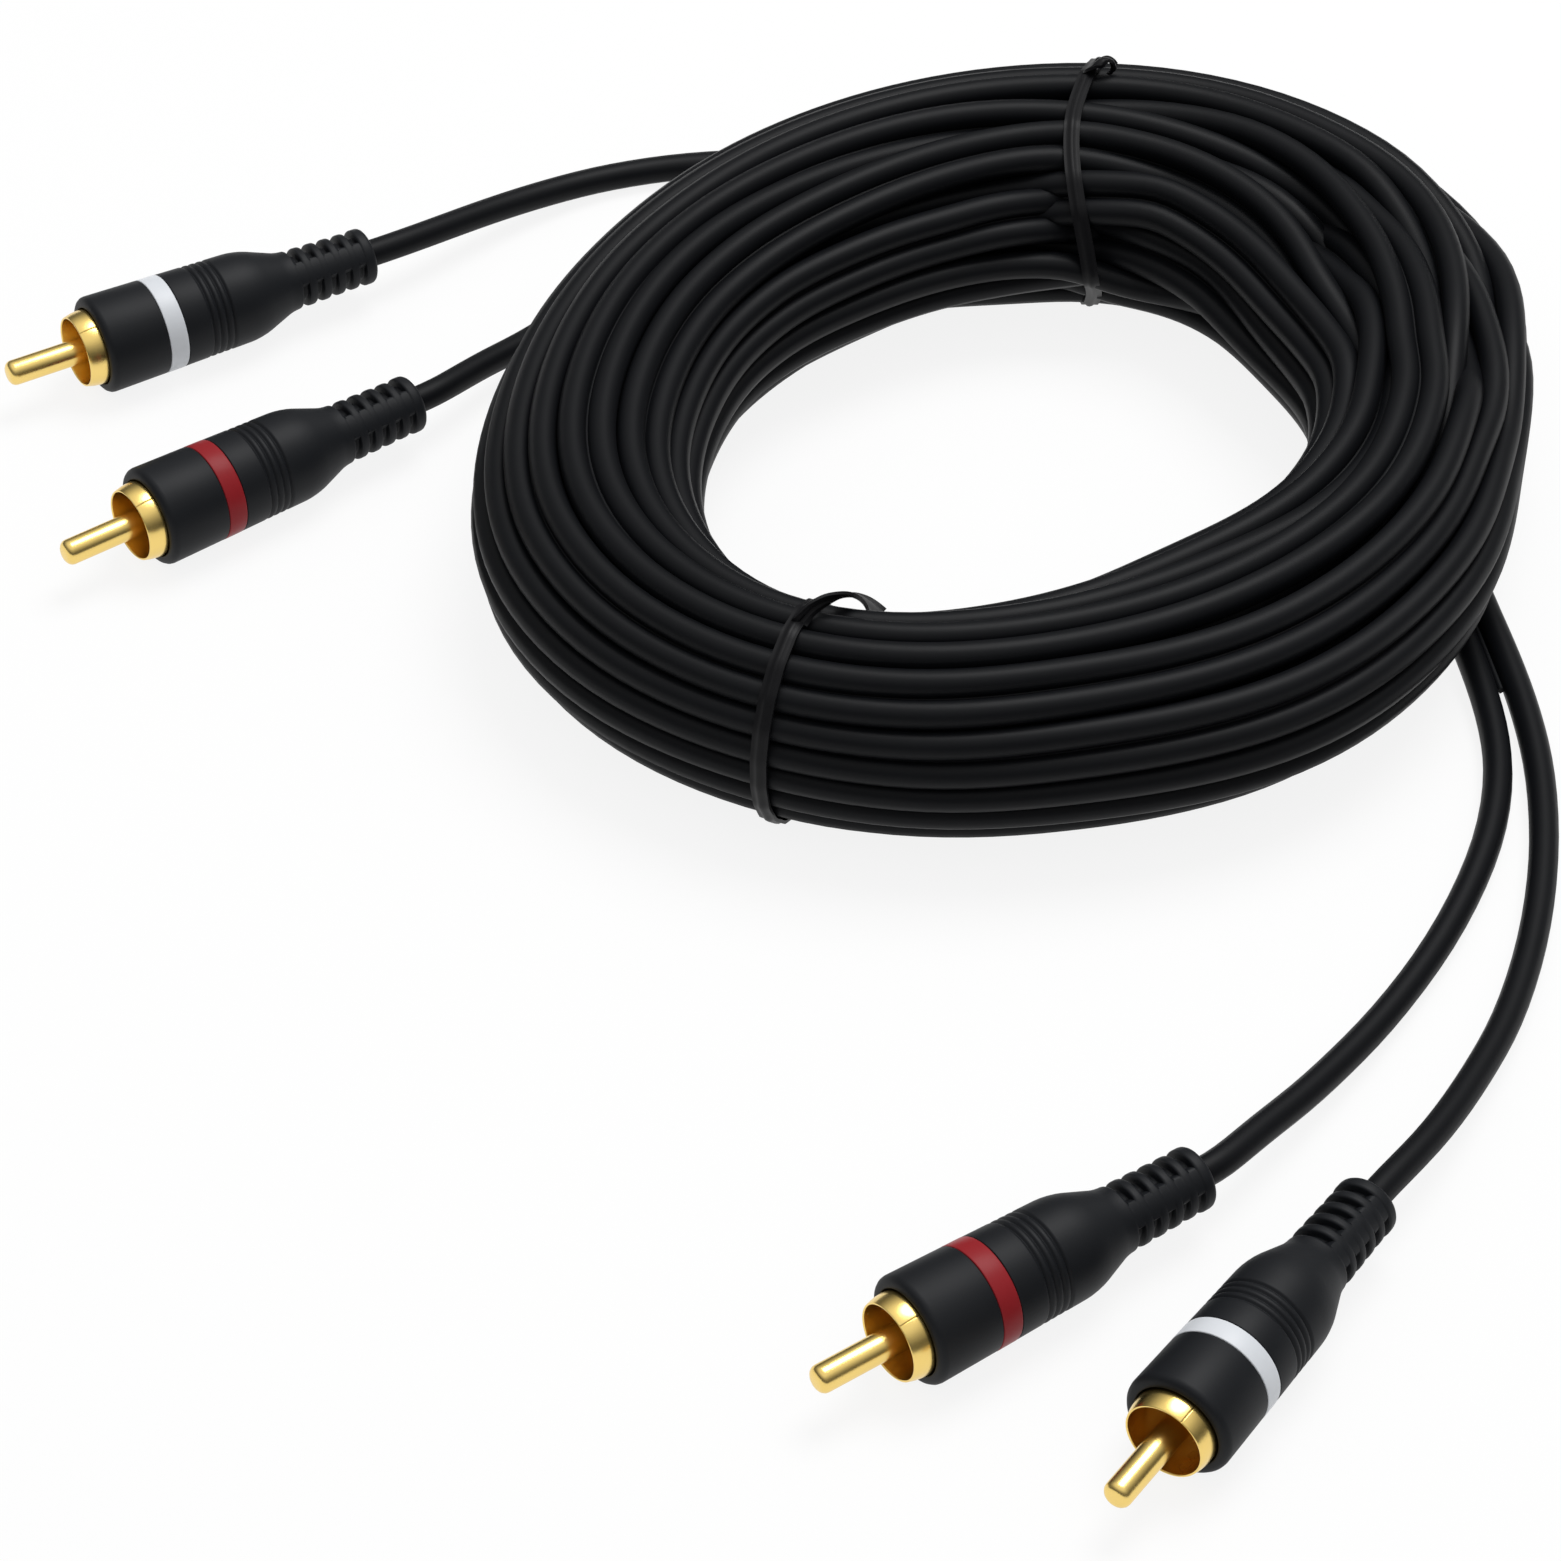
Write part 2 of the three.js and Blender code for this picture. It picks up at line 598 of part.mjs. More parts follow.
const cable = new THREE.Group();
for (const one of PLUGS) {
  cable.add(plug(one));
  cable.add(lead(one));
}
cable.add(piece('cable_coil', coilGeometry(), MATERIALS.black));
for (const tie of TIES) {
  cable.add(piece(tie.name, tieGeometry(tie), MATERIALS.tie));
}

export default cable;
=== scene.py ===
# A stereo audio cable wound into an oval bundle, with a phono plug on each of its four ends.
import json
from math import cos, hypot, pi, radians, sin

import bmesh
import bpy
import numpy as np
from mathutils import Matrix, Vector


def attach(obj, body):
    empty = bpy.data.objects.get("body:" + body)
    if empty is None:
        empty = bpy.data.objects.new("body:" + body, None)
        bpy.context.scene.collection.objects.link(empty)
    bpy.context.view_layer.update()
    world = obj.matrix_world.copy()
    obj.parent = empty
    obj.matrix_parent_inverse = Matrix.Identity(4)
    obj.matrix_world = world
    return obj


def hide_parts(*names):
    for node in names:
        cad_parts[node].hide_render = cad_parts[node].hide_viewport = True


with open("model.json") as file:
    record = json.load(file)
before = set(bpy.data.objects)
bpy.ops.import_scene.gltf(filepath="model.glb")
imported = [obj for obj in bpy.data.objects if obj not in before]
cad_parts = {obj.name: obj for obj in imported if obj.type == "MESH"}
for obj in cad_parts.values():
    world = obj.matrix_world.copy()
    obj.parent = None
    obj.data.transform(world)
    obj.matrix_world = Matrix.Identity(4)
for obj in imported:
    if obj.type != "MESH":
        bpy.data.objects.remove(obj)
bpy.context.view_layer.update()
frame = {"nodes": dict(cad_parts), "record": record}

MM = 0.001

# Lead: two round cords side by side, one for each channel. A thin web joins them along the turns, as on the
# real lead. It goes on along the last few points of the front plugs' routes as painted shade: a dark strip
# that stands in for the shadow in the gap between the split cords.
CORD_DIAMETER = 3.5
TWIN_PITCH = 3.55
WEB_THICKNESS = 1.0
WEB_SHADE_FRONT_POINTS = 4
CORD_ROUNDNESS = 4

# Plug stations, from the tip of the pin backwards
SHELL_LIP = 9.3
HOOD_FRONT = 11.7
SOCKET_FLOOR = 15.8
PIN_SHANK_END = 17.1
INSULATOR_STEP = 17.3
INSULATOR_FLANGE_END = 17.8
SHELL_FLOOR = 18.0
SHELL_CUP_END = 18.7
RING_FRONT = 19.7
SOLDER_CUP_FLOOR = 20.3
INSULATOR_END = 20.7
RING_BACK = 22.3
SOLDER_CUP_END = 22.3
SHELL_TAIL_END = 22.7
JACKET_FRONT = 29.0
MOULD_END = 32.1
SHOULDER_FRONT = 33.2
BOOT_FRONT = 38.4
BOOT_END = 50.2

# Plug diameters
PIN_DIAMETER = 3.2
SHELL_DIAMETER = 9.8
SHELL_WALL = 0.7
HOOD_FRONT_DIAMETER = 12.6
HOOD_BACK_DIAMETER = 11.6
BOOT_FRONT_DIAMETER = 7.7
BOOT_END_DIAMETER = 7.1

# Radii inside a plug, and the play between its pieces
PIN_TIP_ROUND = 0.85
SOLDER_CUP_RADIUS = 1.0
SOLDER_CUP_BORE = 0.5
SHELL_TAIL_RADIUS = 3.0
SHELL_TAIL_BORE = 2.3
INSULATOR_RADIUS = 4.05
INSULATOR_TAIL_RADIUS = 2.1
INSULATOR_TAIL_BORE = 1.2
MOULD_POCKET_RADIUS = 4.8
CORD_HOLE_PLAY = 0.1
MOULD_PLAY = 0.2
PIN_PLAY = 0.2
SHELL_PLAY = 0.12
SHELL_CUP_PLAY = 0.1

# Grip grooves, the boot's slots and the webs across them, the colour ring and the shell's seam
GRIP_GROOVES = 4
GRIP_PITCH = 0.95
GRIP_DEPTH = 0.3
GRIP_WIDTH = 0.56
GRIP_ROUND = 0.14
GRIP_SETBACK = 3.2
BOOT_SLOTS = 5
BOOT_SLOT_WIDTH = 0.9
BOOT_SLOT_DEPTH = 1.0
BOOT_END_RING = 1.6
BOOT_WEB_WIDTH = 2.2
BOOT_WEB_CLOCK = 135
BOOT_WEB_EDGE = 0.5
BOOT_WEB_START = 0.5
BOOT_WEB_SINK = 0.05
BOOT_BORE_WALL = 0.5
BOOT_END_SWELL = 0.08
RING_THICKNESS = 0.8
RING_PLAY = 0.05
RING_PROUD = 0.02
RING_EDGE = 0.14
HOOD_EDGE = 0.12
LIP_TAPER = 0.38
LIP_ROLL = 1.3
SEAM_CLOCK = 115
SEAM_WIDTH = 0.16
SEAM_DEPTH = 0.06
SEAM_SKIN = 0.3
PLUG_STEPS = 96
SHARP_ANGLE = radians(38)

# Bundle: the centre line of its turns is an oval
BUNDLE_LENGTH = 112.6
BUNDLE_WIDTH = 94
BUNDLE_TURN = radians(52)
BUNDLE_CENTRE = (42.8, 55.9)
TURNS_HEIGHT = 27

# The turns' inner and outer edges every 30 degrees round the bundle, outwards from that line
TURNS_EDGES = (
    (-13.5, 13), (-19.5, 18.5), (-18.5, 20), (-17.5, 18.5), (-17, 16.5), (-14.5, 14),
    (-14.5, 13.5), (-13, 14.5), (-10.5, 12), (-14, 13), (-16.5, 17.5), (-13.5, 16),
)

# Winding: the lead joins the bundle at one angle and leaves it at another, clockwise from above. It has one
# seat in the section for each turn, given by its layer from the outside, and steps over to the next seat
# near the back: a step's length and its place past the join are in turns.
JOIN_ANGLE = radians(80)
LEAVE_ANGLE = radians(8)
STATIONS = 48
LAYERS = (0, 0, 1, 0, 2, 0, 1, 0, 3, 0, 1, 0, 2, 0, 1, 0, 2, 0, 1, 0)
FIRST_CLOCK = radians(-35)
LAST_CLOCK = radians(282)
LAYER_DEPTH = 3.4
FAR_AWAY = 1000.0
FAR_APART = 100.0
STEP_SPAN = 0.45
STEP_PLACES = (-0.15, 0.2)
SETTLE_PASSES = 300
SMOOTHING = 0.3
SMOOTHED_SHARE = 0.8
PUSH_SHARE = 0.22
BEND_LIMIT = 1.8
BEND_EASE = 0.3
NEIGHBOUR_EASE = 0.1
WINDING_SEED = 4

# Twist ties: how far each band bows aside, and for each tie its angle round the bundle and the way of its
# twisted ends. A point of that way is a distance outwards across the turns, one along them and a height
# above the table.
TIE_WIDTH = 2.0
TIE_FILM = 0.4
TIE_RIDGE = 0.25
TIE_RIDGE_SHARE = 0.5
RIBBON_STRIPS = 8
BAND_STEPS = 180
BAND_POINTS = 120
TAIL_WIDTH = 1.9
TAIL_POINTS = 40
TAIL_TWISTS = 0.9
TIE_BOWS = {"back_tie": -1.8, "front_tie": 0}
TIES = {
    "back_tie": (78, (
        (5.4, -0.2, 26.4), (5.7, -1.1, 27.7), (6.1, -2, 28.2), (6.9, -2.7, 27.6), (7.9, -3.1, 26.2),
    )),
    "front_tie": (243, (
        (0.9, 0.3, 27), (-0.3, 1, 28.2), (-2.2, 2, 28.5), (-5, 3.2, 27.6), (-7.6, 4, 25.6),
        (-10.4, 4.4, 22.4), (-13.6, 4.6, 18.4),
    )),
}

# Where each cord leaves its boot, and the way it goes there, in degrees
PLUGS = {
    "left_white": ((-37.8, 103.5), 30.2, "white"),
    "left_red": ((-30.4, 72.6), 36.5, "red"),
    "front_red": ((59.5, -61.6), 35.9, "red"),
    "front_white": ((77.4, -65.6), 55.1, "white"),
}

# The way of each cord from its boot to the bundle
ROUTES = {
    "left_white": (
        (-30, 109.1, 5.7), (-24.4, 114.5, 4.5), (-18.8, 119.4, 3.4), (-13, 123.5, 2.6), (-7.2, 126.8, 2),
        (0.7, 129.1, 1.9), (8.6, 130.1, 1.9), (17.5, 130.2, 2), (27, 129.2, 2.4), (37, 127.2, 3.6),
        (46, 124.6, 5.6),
    ),
    "left_red": (
        (-25.1, 78, 5.7), (-21.5, 82.8, 4.8), (-17.7, 87.4, 3.7), (-12.4, 94.5, 2.6), (-5.8, 102.8, 2.1),
        (3, 111.5, 1.9), (13, 118.5, 1.9), (24, 123, 2), (35, 123.4, 2.6), (45, 121, 4),
    ),
    "front_red": (
        (66.8, -53.6, 5.3), (71.7, -47.8, 4.2), (76.7, -40.9, 3.2), (81.7, -33.8, 2.5), (87.9, -23.5, 2),
        (92.7, -13.6, 1.9), (96.5, -3.5, 1.9), (98.5, 6, 1.9), (98.9, 14, 1.9), (98.3, 22, 1.9),
        (97, 30.5, 1.9), (95.4, 39, 1.9), (93.9, 48, 1.9),
    ),
    "front_white": (
        (84.7, -55.5, 5.4), (88.8, -48.2, 4.3), (92.3, -41.1, 3.4), (95.5, -34.1, 2.7), (98.9, -23.7, 2),
        (101.3, -13.6, 1.9), (102.9, -3, 1.9), (103.5, 8, 1.9), (103.1, 16, 1.9), (102.3, 23.5, 1.9),
        (100.9, 32, 1.9), (99.3, 40, 1.9), (98, 49, 1.9),
    ),
}

# Finishes: patches of tone and grains of the surface to a metre, and how far the patches vary the roughness
PVC_PATCHES, PVC_GRAINS, PVC_ROUGH_SPREAD = 60, 2600, 0.12
GOLD_PATCHES, GOLD_GRAINS, GOLD_ROUGH_SPREAD = 240, 4200, 0.12
PLASTIC_PATCHES, PLASTIC_GRAINS, PLASTIC_ROUGH_SPREAD = 180, 2200, 0.08
GOLD_ROUGHNESS = 0.19
GOLD_SCRATCH_DEPTH = 0.004
PLASTIC_GRAIN_DEPTH = 0.006

# Studio: the floor reaches past the view, and what the camera and reflections see of it is mostly plain
# white paper. The sky's level rises from the horizon to overhead.
FLOOR_REACH = 20
FLOOR_PAPER = 0.87
SKY_STOPS = ((0, 0.10), (0.3, 0.13), (0.6, 0.45), (0.85, 0.9))
LAMP_PLACE = (0.35, 0.45, 1.3)
LAMP_SIZE = 0.9
LAMP_POWER = 13

# Camera, fitted to the photograph
CAMERA_TARGET = (15.3, 8.9, 0)
CAMERA_ELEVATION = radians(41.5)
CAMERA_DISTANCE = 651.2
SENSOR_WIDTH = 36
LENS = 129.1

CORD_RADIUS = CORD_DIAMETER / 2
AXIS_HEIGHT = HOOD_FRONT_DIAMETER / 2
WEB_CLOCK = radians(BOOT_WEB_CLOCK)
SEAM_OUT = Vector((0, cos(radians(SEAM_CLOCK)), sin(radians(SEAM_CLOCK))))
SEAM_ACROSS = Vector((0, -SEAM_OUT.z, SEAM_OUT.y))


def add_camera():
    data = bpy.data.cameras.new("camera")
    data.sensor_width = SENSOR_WIDTH
    data.lens = LENS
    data.clip_start = 0.01
    data.clip_end = 20
    camera = bpy.data.objects.new("camera", data)
    bpy.context.scene.collection.objects.link(camera)
    away = Vector((0, -cos(CAMERA_ELEVATION), sin(CAMERA_ELEVATION)))
    camera.location = (Vector(CAMERA_TARGET) + away * CAMERA_DISTANCE) * MM
    camera.rotation_euler = (pi / 2 - CAMERA_ELEVATION, 0, 0)
    bpy.context.scene.camera = camera


class Wire:
    """An output of a node. A sum or product of wires and numbers adds Math nodes beside it."""

    def __init__(self, nodes, socket):
        self.nodes = nodes
        self.socket = socket

    def _math(self, operation, first, second):
        return self.nodes.add("ShaderNodeMath", {"operation": operation}, {0: first, 1: second})

    def __add__(self, other):
        return self._math("ADD", self, other)

    def __radd__(self, other):
        return self._math("ADD", other, self)

    def __mul__(self, other):
        return self._math("MULTIPLY", self, other)

    def __rmul__(self, other):
        return self._math("MULTIPLY", other, self)


class Nodes:
    """The nodes of one material or of the world."""

    def __init__(self, tree):
        self.tree = tree

    def add(self, kind, settings=None, inputs=None, output=0):
        node = self.tree.nodes.new(kind)
        for name, value in (settings or {}).items():
            if name == "stops":
                self._set_stops(node.color_ramp, value)
            else:
                setattr(node, name, value)
        self.feed(node, inputs or {})
        return Wire(self, node.outputs[output])

    def _set_stops(self, ramp, stops):
        while len(ramp.elements) < len(stops):
            ramp.elements.new(1)
        for element, (position, level) in zip(ramp.elements, stops):
            element.position = position
            element.color = (level, level, level, 1)

    def feed(self, node, inputs):
        for name, value in inputs.items():
            if isinstance(value, Wire):
                self.tree.links.new(value.socket, node.inputs[name])
            else:
                node.inputs[name].default_value = value

    def noise(self, scale, detail=3.0):
        place = self.add("ShaderNodeTexCoord", output="Object")
        return self.add("ShaderNodeTexNoise", {}, {"Vector": place, "Scale": scale, "Detail": detail}, "Fac")

    def blend(self, share, first, second):
        return self.add("ShaderNodeMix", {"data_type": "RGBA"}, {0: share, 6: first, 7: second}, 2)

    def bump(self, height, depth):
        return self.add("ShaderNodeBump", {}, {"Height": height, "Distance": depth, "Strength": 1.0})


class Finish(Nodes):
    """A material with one Principled shader."""

    def __init__(self, name):
        self.material = bpy.data.materials.new(name)
        self.material.use_nodes = True
        super().__init__(self.material.node_tree)
        self.shader = self.tree.nodes["Principled BSDF"]

    def set(self, **inputs):
        self.feed(self.shader, {name.replace("_", " "): value for name, value in inputs.items()})


def soft_black(name, dark, light, rough, grain_depth, gloss):
    """Satin black PVC: a faint cloudy tone and a fine moulded grain."""
    finish = Finish(name)
    cloud = finish.noise(PVC_PATCHES)
    grain = finish.noise(PVC_GRAINS, 4)
    finish.set(
        Base_Color=finish.blend(cloud, dark, light),
        Roughness=rough + PVC_ROUGH_SPREAD * cloud,
        Normal=finish.bump(grain, grain_depth * MM),
    )
    finish.set(Specular_IOR_Level=gloss)
    return finish.material


def gold():
    """Bright gold plate, faintly uneven in tone and polish."""
    finish = Finish("gold plate")
    cloud = finish.noise(GOLD_PATCHES)
    scratch = finish.noise(GOLD_GRAINS, 5)
    finish.set(
        Base_Color=finish.blend(cloud, (0.88, 0.63, 0.19, 1), (0.95, 0.70, 0.24, 1)),
        Roughness=GOLD_ROUGHNESS + GOLD_ROUGH_SPREAD * cloud,
        Normal=finish.bump(scratch, GOLD_SCRATCH_DEPTH * MM),
    )
    finish.set(Metallic=1.0)
    return finish.material


def plain_plastic(name, first, second, rough, gloss=0.5):
    """Moulded plastic, or the core's copper: two close tones and a fine grain."""
    finish = Finish(name)
    cloud = finish.noise(PLASTIC_PATCHES)
    grain = finish.noise(PLASTIC_GRAINS)
    finish.set(
        Base_Color=finish.blend(cloud, first, second),
        Roughness=rough + PLASTIC_ROUGH_SPREAD * cloud,
        Normal=finish.bump(grain, PLASTIC_GRAIN_DEPTH * MM),
    )
    finish.set(Specular_IOR_Level=gloss)
    return finish.material


FINISHES = {
    "black_pvc": soft_black(
        "black cord PVC", (0.0033, 0.0037, 0.0047, 1), (0.0053, 0.0058, 0.0072, 1), 0.42, 0.006, 0.13,
    ),
    "hood_pvc": soft_black(
        "black hood PVC", (0.006, 0.007, 0.009, 1), (0.010, 0.011, 0.013, 1), 0.46, 0.010, 0.18,
    ),
    "tie_plastic": soft_black(
        "black tie plastic", (0.004, 0.004, 0.005, 1), (0.007, 0.007, 0.008, 1), 0.38, 0.004, 0.16,
    ),
    "gold_plate": gold(),
    "white_ring": plain_plastic(
        "white ring plastic", (0.63, 0.66, 0.70, 1), (0.69, 0.71, 0.74, 1), 0.34, 0.3,
    ),
    "red_ring": plain_plastic(
        "red ring plastic", (0.24, 0.014, 0.018, 1), (0.29, 0.018, 0.023, 1), 0.34, 0.13,
    ),
    # The insulator is brown, but it is set lighter than its own colour. The extra lightness is painted
    # light, standing in for the light missing from the socket's deep hollow.
    "insulator_plastic": plain_plastic("brown insulator with painted light", (0.56, 0.32, 0.12, 1), (0.66, 0.39, 0.16, 1), 0.5),
    "inner_mould_plastic": plain_plastic("inner mould", (0.60, 0.61, 0.58, 1), (0.68, 0.69, 0.65, 1), 0.5),
    "core_plastic": plain_plastic("core insulation", (0.80, 0.78, 0.72, 1), (0.86, 0.84, 0.79, 1), 0.4),
    "copper_wire": plain_plastic("copper strands", (0.48, 0.18, 0.08, 1), (0.60, 0.24, 0.11, 1), 0.35),
}


def link(name, data, finish_name, slot_name, *nodes):
    """Adds a piece of the object: it rides on the one body and stands for its CAD nodes."""
    piece = bpy.data.objects.new(name, data)
    bpy.context.scene.collection.objects.link(piece)
    data.materials.append(FINISHES[finish_name])
    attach(piece, "root")
    if nodes:
        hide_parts(*nodes)
    return piece


def between(knots, share):
    """Points on the smooth curve through knots, at shares counted in knots from the second one."""
    first = share.astype(int)
    t = (share - first)[:, None]
    a, b, c, d = (knots[first + i] for i in range(4))
    return b + ((c - a) * t + (2 * a - 5 * b + 4 * c - d) * t ** 2 + (3 * b - a - 3 * c + d) * t ** 3) / 2


def turns_edges(angle):
    """The turns' inner and outer edges at angles seen from the bundle's centre."""
    places = len(TURNS_EDGES)
    knots = np.array([TURNS_EDGES[i % places] for i in range(-1, places + 2)], float)
    return between(knots, np.asarray(angle) / (2 * pi) % 1 * places).T


def bundle_place(angle):
    """The points of the bundle's oval centre line at angles seen from its centre, and the ways outwards."""
    long, short = BUNDLE_LENGTH / 2, BUNDLE_WIDTH / 2
    turned = np.asarray(angle) - BUNDLE_TURN
    radius = 1 / np.hypot(np.cos(turned) / long, np.sin(turned) / short)
    on_oval = np.stack([radius * np.cos(turned), radius * np.sin(turned)], -1)
    outwards = on_oval / (long ** 2, short ** 2)
    outwards /= np.linalg.norm(outwards, axis=-1, keepdims=True)
    turn = np.array([[cos(BUNDLE_TURN), sin(BUNDLE_TURN)], [-sin(BUNDLE_TURN), cos(BUNDLE_TURN)]])
    return on_oval @ turn + BUNDLE_CENTRE, outwards @ turn


class Winding:
    """The turns of the twin lead, as places in the bundle's section at each station round it."""

    def __init__(self):
        self.turns = len(LAYERS)
        whole = (self.turns - 1) + (JOIN_ANGLE - LEAVE_ANGLE) / (2 * pi)
        self.count = round(whole * STATIONS) + 1
        self.angle = JOIN_ANGLE - 2 * pi * np.arange(self.count) / STATIONS
        inner, outer = turns_edges(JOIN_ANGLE - 2 * pi * np.arange(STATIONS) / STATIONS)
        self.across = (outer - inner) / 2 - CORD_RADIUS
        self.up = np.full(STATIONS, TURNS_HEIGHT / 2 - CORD_RADIUS)
        self.reach = np.tile(np.stack([self.across, self.up], -1), (self.turns, 1))[:, None]
        self.chain = self._first_lay()
        used = np.arange(self.turns * STATIONS) < self.count
        self.live = used.reshape(self.turns, STATIONS).T.repeat(2, axis=1)

    def _seats(self):
        """The layer and the clock angle of each turn's seat. An inner seat lies half a step back."""
        step = (LAST_CLOCK - FIRST_CLOCK) / (LAYERS.count(0) - 1)
        seats = []
        outer = 0
        for layer in LAYERS:
            back = 0 if layer == 0 else 0.5
            seats.append((layer, FIRST_CLOCK + step * (outer - back)))
            outer += layer == 0
        return seats

    def _first_lay(self):
        """The lead runs along a seat for about a turn, then steps over to the next one at the back."""
        random = np.random.default_rng(WINDING_SEED)
        seats = self._seats()
        early = np.sort(random.uniform(*STEP_PLACES, self.turns - 1))[::-1]
        centres = np.arange(1, self.turns) + early
        # The unused end of the last turn stands far away, where it meets no cord
        chain = np.full((self.turns * STATIONS, 2, 2), FAR_AWAY)
        chain += FAR_APART * np.arange(chain.shape[0] * 2).reshape(-1, 2, 1)
        for i in range(self.count):
            steps = np.clip((i / STATIONS - centres) / STEP_SPAN + 0.5, 0, 1)
            seat, share = divmod(float((steps * steps * (3 - 2 * steps)).sum()), 1)
            here, there = seats[int(seat)], seats[min(int(seat) + 1, self.turns - 1)]
            layer, clock = (a * (1 - share) + b * share for a, b in zip(here, there))
            across = self.across[i % STATIONS] - layer * LAYER_DEPTH
            up = self.up[i % STATIONS] - layer * LAYER_DEPTH
            middle = np.array([across * cos(clock), up * sin(clock)])
            along = np.array([-sin(clock), cos(clock)]) * TWIN_PITCH / 2
            chain[i] = middle - along, middle + along
        return chain

    def _to_sections(self):
        by_turn = self.chain.reshape(self.turns, STATIONS, 2, 2)
        return by_turn.transpose(1, 0, 2, 3).reshape(STATIONS, self.turns * 2, 2)

    def _from_sections(self, sections):
        by_station = sections.reshape(STATIONS, self.turns, 2, 2)
        self.chain = by_station.transpose(1, 0, 2, 3).reshape(self.turns * STATIONS, 2, 2)

    def _smooth(self, rate):
        """Each cord evens out its way, as a share of the section's reach at every station."""
        lay = self.chain / self.reach
        even = 0.5 * (lay[:self.count - 2] + lay[2:self.count])
        lay[1:self.count - 1] += rate * (even - lay[1:self.count - 1])
        self.chain = lay * self.reach

    def _push_apart(self, sections):
        """Cords in a section stay a pitch apart, and the two of one turn keep exactly that."""
        turn = np.arange(self.turns * 2) // 2
        twins = turn[:, None] == turn[None]
        both = self.live[:, :, None] & self.live[:, None] & ~np.eye(len(turn), dtype=bool)
        apart = sections[:, :, None] - sections[:, None]
        distance = np.maximum(np.linalg.norm(apart, axis=-1), 1e-6)
        short = TWIN_PITCH - distance
        short = np.where(twins, short, np.maximum(short, 0)) * both
        return sections + (apart * (PUSH_SHARE * short / distance)[..., None]).sum(2)

    def _keep_inside(self, sections):
        reach = np.hypot(sections[..., 0] / self.across[:, None], sections[..., 1] / self.up[:, None])
        return sections / np.where(self.live, np.maximum(reach, 1), 1)[..., None]

    def _ease_bends(self):
        """Where a cord bends more than it would, it and its neighbours share the bend."""
        last = self.count
        bend = self.chain[:last - 2] - 2 * self.chain[1:last - 1] + self.chain[2:last]
        size = np.maximum(np.linalg.norm(bend, axis=-1, keepdims=True), 1e-6)
        excess = bend * np.maximum(1 - BEND_LIMIT / size, 0)
        self.chain[1:last - 1] += BEND_EASE * excess
        self.chain[:last - 2] -= NEIGHBOUR_EASE * excess
        self.chain[2:last] -= NEIGHBOUR_EASE * excess

    def settle(self):
        """The lay evens out, less and less, while its cords are kept apart, inside and gently bent."""
        ends = self.chain[[0, self.count - 1]].copy()
        for i in range(SETTLE_PASSES):
            self._smooth(SMOOTHING * max(0, 1 - i / (SMOOTHED_SHARE * SETTLE_PASSES)))
            sections = self._to_sections()
            for _ in range(2):
                sections = self._keep_inside(self._push_apart(sections))
            self._from_sections(sections)
            for _ in range(2):
                self._ease_bends()
            self.chain[[0, self.count - 1]] = ends

    def section_at(self, angle):
        """Where the cords cross the bundle's section at an angle seen from its centre."""
        here, share = divmod((JOIN_ANGLE - angle) / (2 * pi) % 1 * STATIONS, 1)
        index = np.arange(int(here), self.count - 1, STATIONS)
        crossing = self.chain[index] * (1 - share) + self.chain[index + 1] * share
        inner, outer = turns_edges([angle])
        return crossing.reshape(-1, 2) + ((inner + outer).item() / 2, 0)

    def line(self, channel):
        """The wound stretch of one cord, as points in space."""
        place, outwards = bundle_place(self.angle)
        inner, outer = turns_edges(self.angle)
        section = self.chain[:self.count, channel]
        flat = place + outwards * (section[:, 0] + (inner + outer) / 2)[:, None]
        return [Vector((x, y, z)) for (x, y), z in zip(flat, TURNS_HEIGHT / 2 + section[:, 1])]


def lead_line(name):
    """A cord's points from inside its plug to the bundle."""
    (x, y), heading, _ = PLUGS[name]
    along = Vector((cos(radians(heading)), sin(radians(heading)), 0))
    boot_end = Vector((x, y, AXIS_HEIGHT))
    inside = JACKET_FRONT - BOOT_END
    straight = [boot_end + along * distance for distance in (inside, inside / 2, 0, CORD_DIAMETER)]
    return straight + [Vector(point) for point in ROUTES[name]]


def cord_curve(name, points, radius, roundness):
    """A smooth cord that follows its points. Its section has four sides, and two more for each roundness."""
    data = bpy.data.curves.new(name, "CURVE")
    data.dimensions = "3D"
    data.bevel_depth = radius * MM
    data.bevel_resolution = roundness
    data.use_fill_caps = True
    data.resolution_u = 3
    spline = data.splines.new("NURBS")
    spline.points.add(len(points) - 1)
    for control, point in zip(spline.points, points):
        control.co = (*(point * MM), 1)
    spline.order_u = 4
    spline.use_endpoint_u = True
    return data


def line_length(points):
    return sum((b - a).length for a, b in zip(points, points[1:])) * MM


